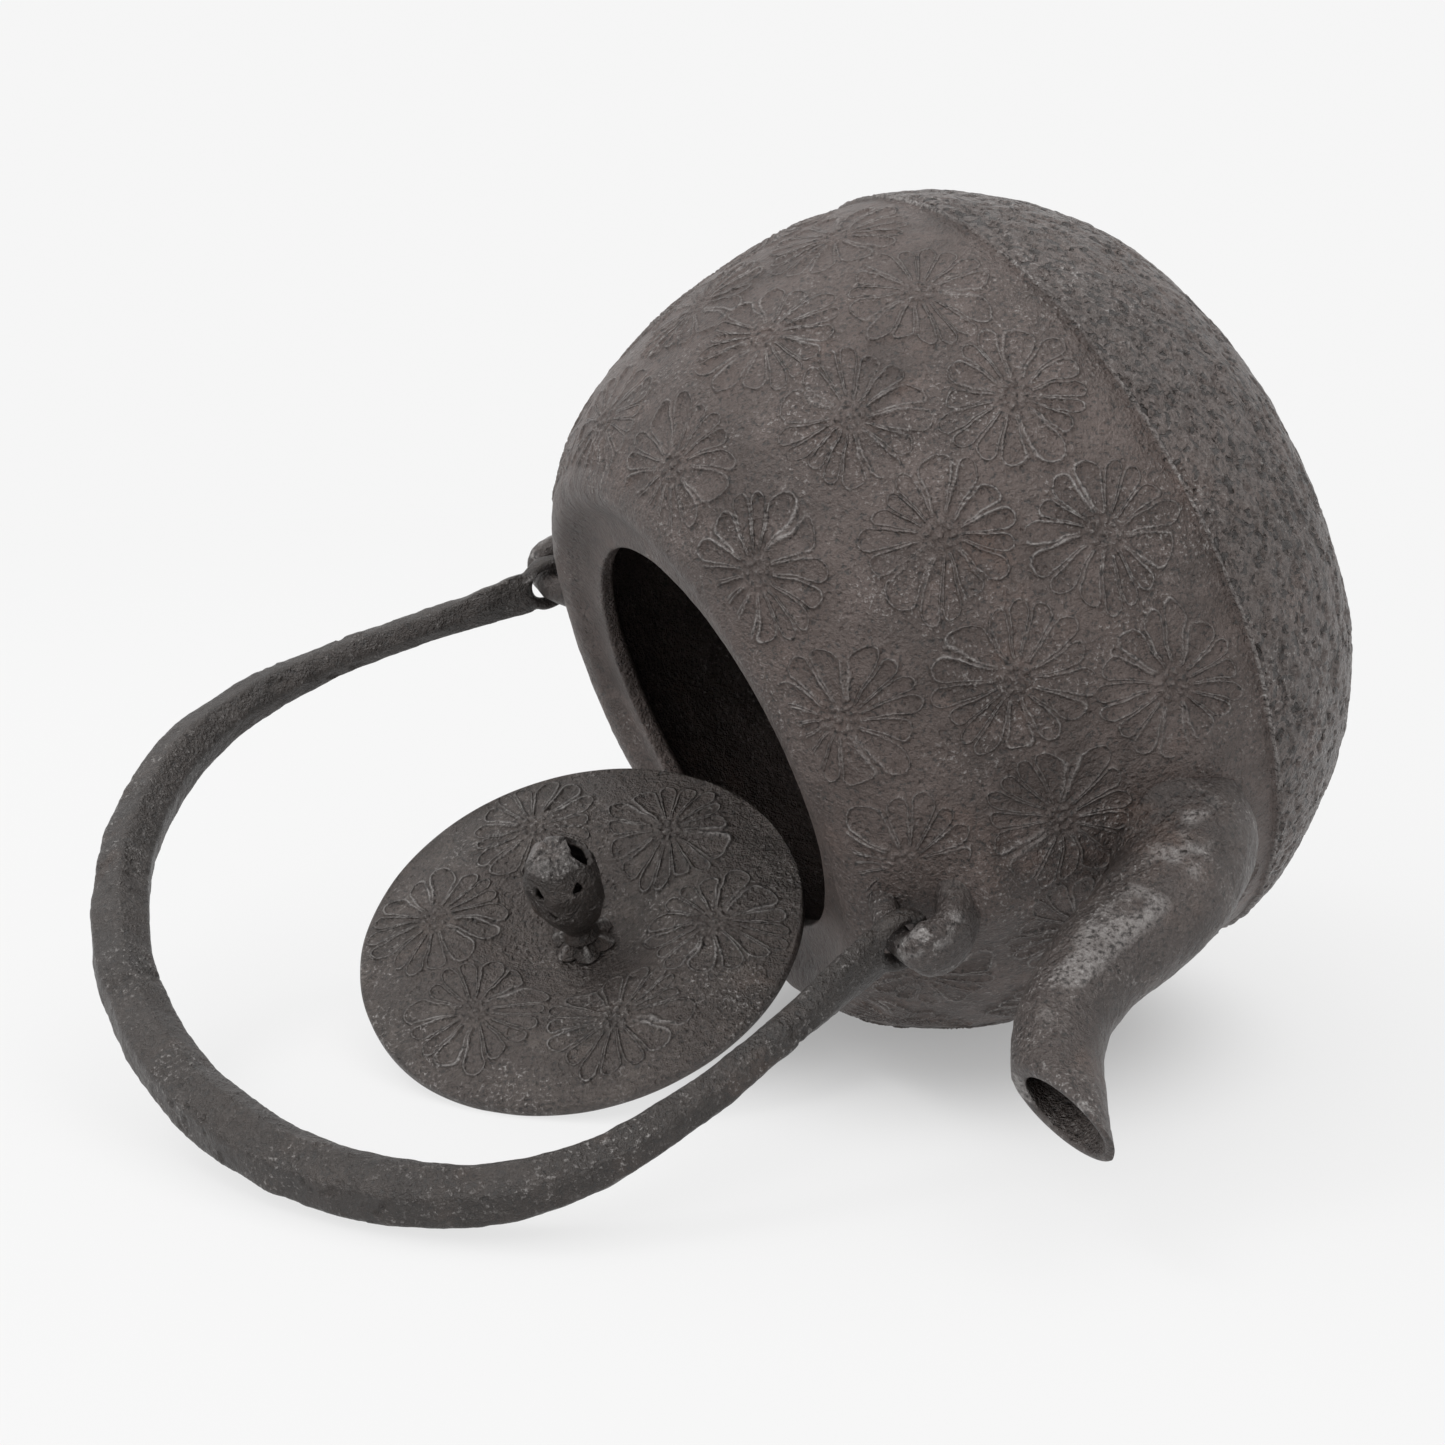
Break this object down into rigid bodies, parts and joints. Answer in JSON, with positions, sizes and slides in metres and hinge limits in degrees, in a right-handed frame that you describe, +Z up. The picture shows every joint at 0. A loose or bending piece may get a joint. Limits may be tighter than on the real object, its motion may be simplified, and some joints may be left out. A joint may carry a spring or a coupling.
{
  "type": "cast-iron kettle",
  "caption": "Round cast-iron kettle lying on its side, with a swinging bail handle, a curved spout and a loose knobbed lid leaning on its mouth.",
  "frame": {"origin": "on the floor, under the middle of the whole as it lies", "axes": "+Z up from the floor; +X along the longest extent, towards the kettle's base; +Y away from the viewer, so that the spout lies towards -Y"},
  "size_m": [0.2504, 0.216, 0.1704],
  "materials": {
    "kettle_iron": "matt, finely pitted, dark brown patina",
    "handle_iron": "matt to satin, forged, dark brown patina",
    "lid_iron": "matt, finely pitted, dark brown patina"
  },
  "bodies": {
    "kettle": {"kettle_body": "kettle_iron", "spout": "kettle_iron", "front_lug": "kettle_iron", "rear_lug": "kettle_iron"},
    "handle": {"bail_handle": "handle_iron"},
    "lid": {"lid_plate": "lid_iron", "knob_seat": "lid_iron", "knob": "lid_iron", "tang_washer": "lid_iron"}
  },
  "joints": [
    {"name": "handle_swing", "type": "hinge", "parent": "kettle", "child": "handle", "pos_m": [-0.00277, 0.00046, 0.06283], "axis": [0.494, -0.812, -0.3109], "range_deg": [-100, 100]},
    {"name": "lid_lift", "type": "slide", "parent": "kettle", "child": "lid", "axis": [-0.53, -0.5647, 0.6327], "range_m": [0, 0.18]}
  ]
}
